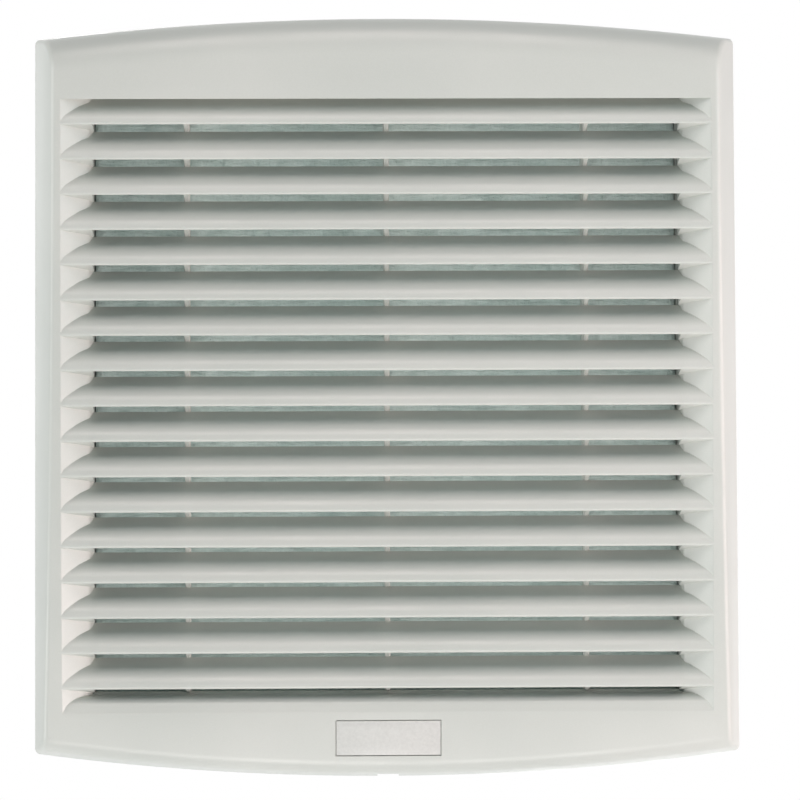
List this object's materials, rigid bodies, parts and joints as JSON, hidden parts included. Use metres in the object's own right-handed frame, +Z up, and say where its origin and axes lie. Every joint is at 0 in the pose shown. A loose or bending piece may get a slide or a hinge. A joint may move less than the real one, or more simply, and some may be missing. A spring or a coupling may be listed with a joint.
{
  "type": "cabinet filter fan",
  "caption": "Louvred filter fan for an enclosure cut-out: hinged light-grey cover, clip-in frame with filter mat and spring claws, plenum deck and guarded axial fan.",
  "frame": {"origin": "centre of the panel cut-out on the outer face of the cabinet panel", "axes": "+Y into the cabinet, +Z up along the taller side of the cover, +X to the right seen from outside"},
  "size_m": [0.248, 0.1108, 0.268],
  "materials": {
    "abs_light_grey": "fine spark-eroded texture, light grey",
    "abs_frame_grey": "plain moulded surface, light grey",
    "label_grey": "satin film, blank",
    "foam_black": "closed-cell foam, black",
    "filter_fibre": "bonded synthetic fibre, off-white",
    "zinc_steel": "zinc plated",
    "guard_wire": "nickel-chrome plated wire",
    "die_cast_black": "black powder coat on die-cast aluminium",
    "impeller_black": "glass-filled polyamide, black",
    "stator_winding": "varnished copper winding over laminations",
    "polyamide_white": "natural polyamide",
    "terminal_brass": "plain brass"
  },
  "bodies": {
    "frame": {"mounting_frame": "abs_frame_grey", "gasket": "foam_black", "filter_mat": "filter_fibre", "fan_deck": "abs_frame_grey", "fan_frame": "die_cast_black", "bearing_front": "zinc_steel", "bearing_rear": "zinc_steel", "stator": "stator_winding", "finger_guard": "guard_wire", "terminal_block": "polyamide_white", "deck_screw_1": "zinc_steel", "fan_screw_1": "zinc_steel", "guard_screw_1": "zinc_steel", "deck_screw_2": "zinc_steel", "fan_screw_2": "zinc_steel", "guard_screw_2": "zinc_steel", "deck_screw_3": "zinc_steel", "fan_screw_3": "zinc_steel", "guard_screw_3": "zinc_steel", "deck_screw_4": "zinc_steel", "fan_screw_4": "zinc_steel", "guard_screw_4": "zinc_steel", "terminal_screw_1": "terminal_brass", "terminal_screw_2": "terminal_brass", "terminal_screw_3": "terminal_brass"},
    "cover": {"front_cover": "abs_light_grey", "label_plate": "label_grey"},
    "rotor": {"impeller": "impeller_black", "rotor_cup": "zinc_steel", "shaft": "zinc_steel", "retaining_ring": "zinc_steel"},
    "claw_1": {"spring_claw_1": "abs_frame_grey"},
    "claw_2": {"spring_claw_2": "abs_frame_grey"},
    "claw_3": {"spring_claw_3": "abs_frame_grey"},
    "claw_4": {"spring_claw_4": "abs_frame_grey"}
  },
  "joints": [
    {"name": "cover_hinge", "type": "hinge", "parent": "frame", "child": "cover", "pos_m": [0, -0.012, 0.1263], "axis": [-1, 0, 0], "range_deg": [0, 60]},
    {"name": "fan_spin", "type": "hinge", "parent": "frame", "child": "rotor", "pos_m": [0, 0.0353, 0], "axis": [0, -1, 0], "continuous": true},
    {"name": "claw_1_hinge", "type": "hinge", "parent": "frame", "child": "claw_1", "pos_m": [-0.1072, 0.0136, -0.06], "axis": [0, 0, 1], "range_deg": [0, 17], "stiffness_Nm_per_rad": 0.08},
    {"name": "claw_2_hinge", "type": "hinge", "parent": "frame", "child": "claw_2", "pos_m": [-0.1072, 0.0136, 0.06], "axis": [0, 0, 1], "range_deg": [0, 17], "stiffness_Nm_per_rad": 0.08},
    {"name": "claw_3_hinge", "type": "hinge", "parent": "frame", "child": "claw_3", "pos_m": [0.1072, 0.0136, -0.06], "axis": [0, 0, -1], "range_deg": [0, 17], "stiffness_Nm_per_rad": 0.08},
    {"name": "claw_4_hinge", "type": "hinge", "parent": "frame", "child": "claw_4", "pos_m": [0.1072, 0.0136, 0.06], "axis": [0, 0, -1], "range_deg": [0, 17], "stiffness_Nm_per_rad": 0.08}
  ]
}
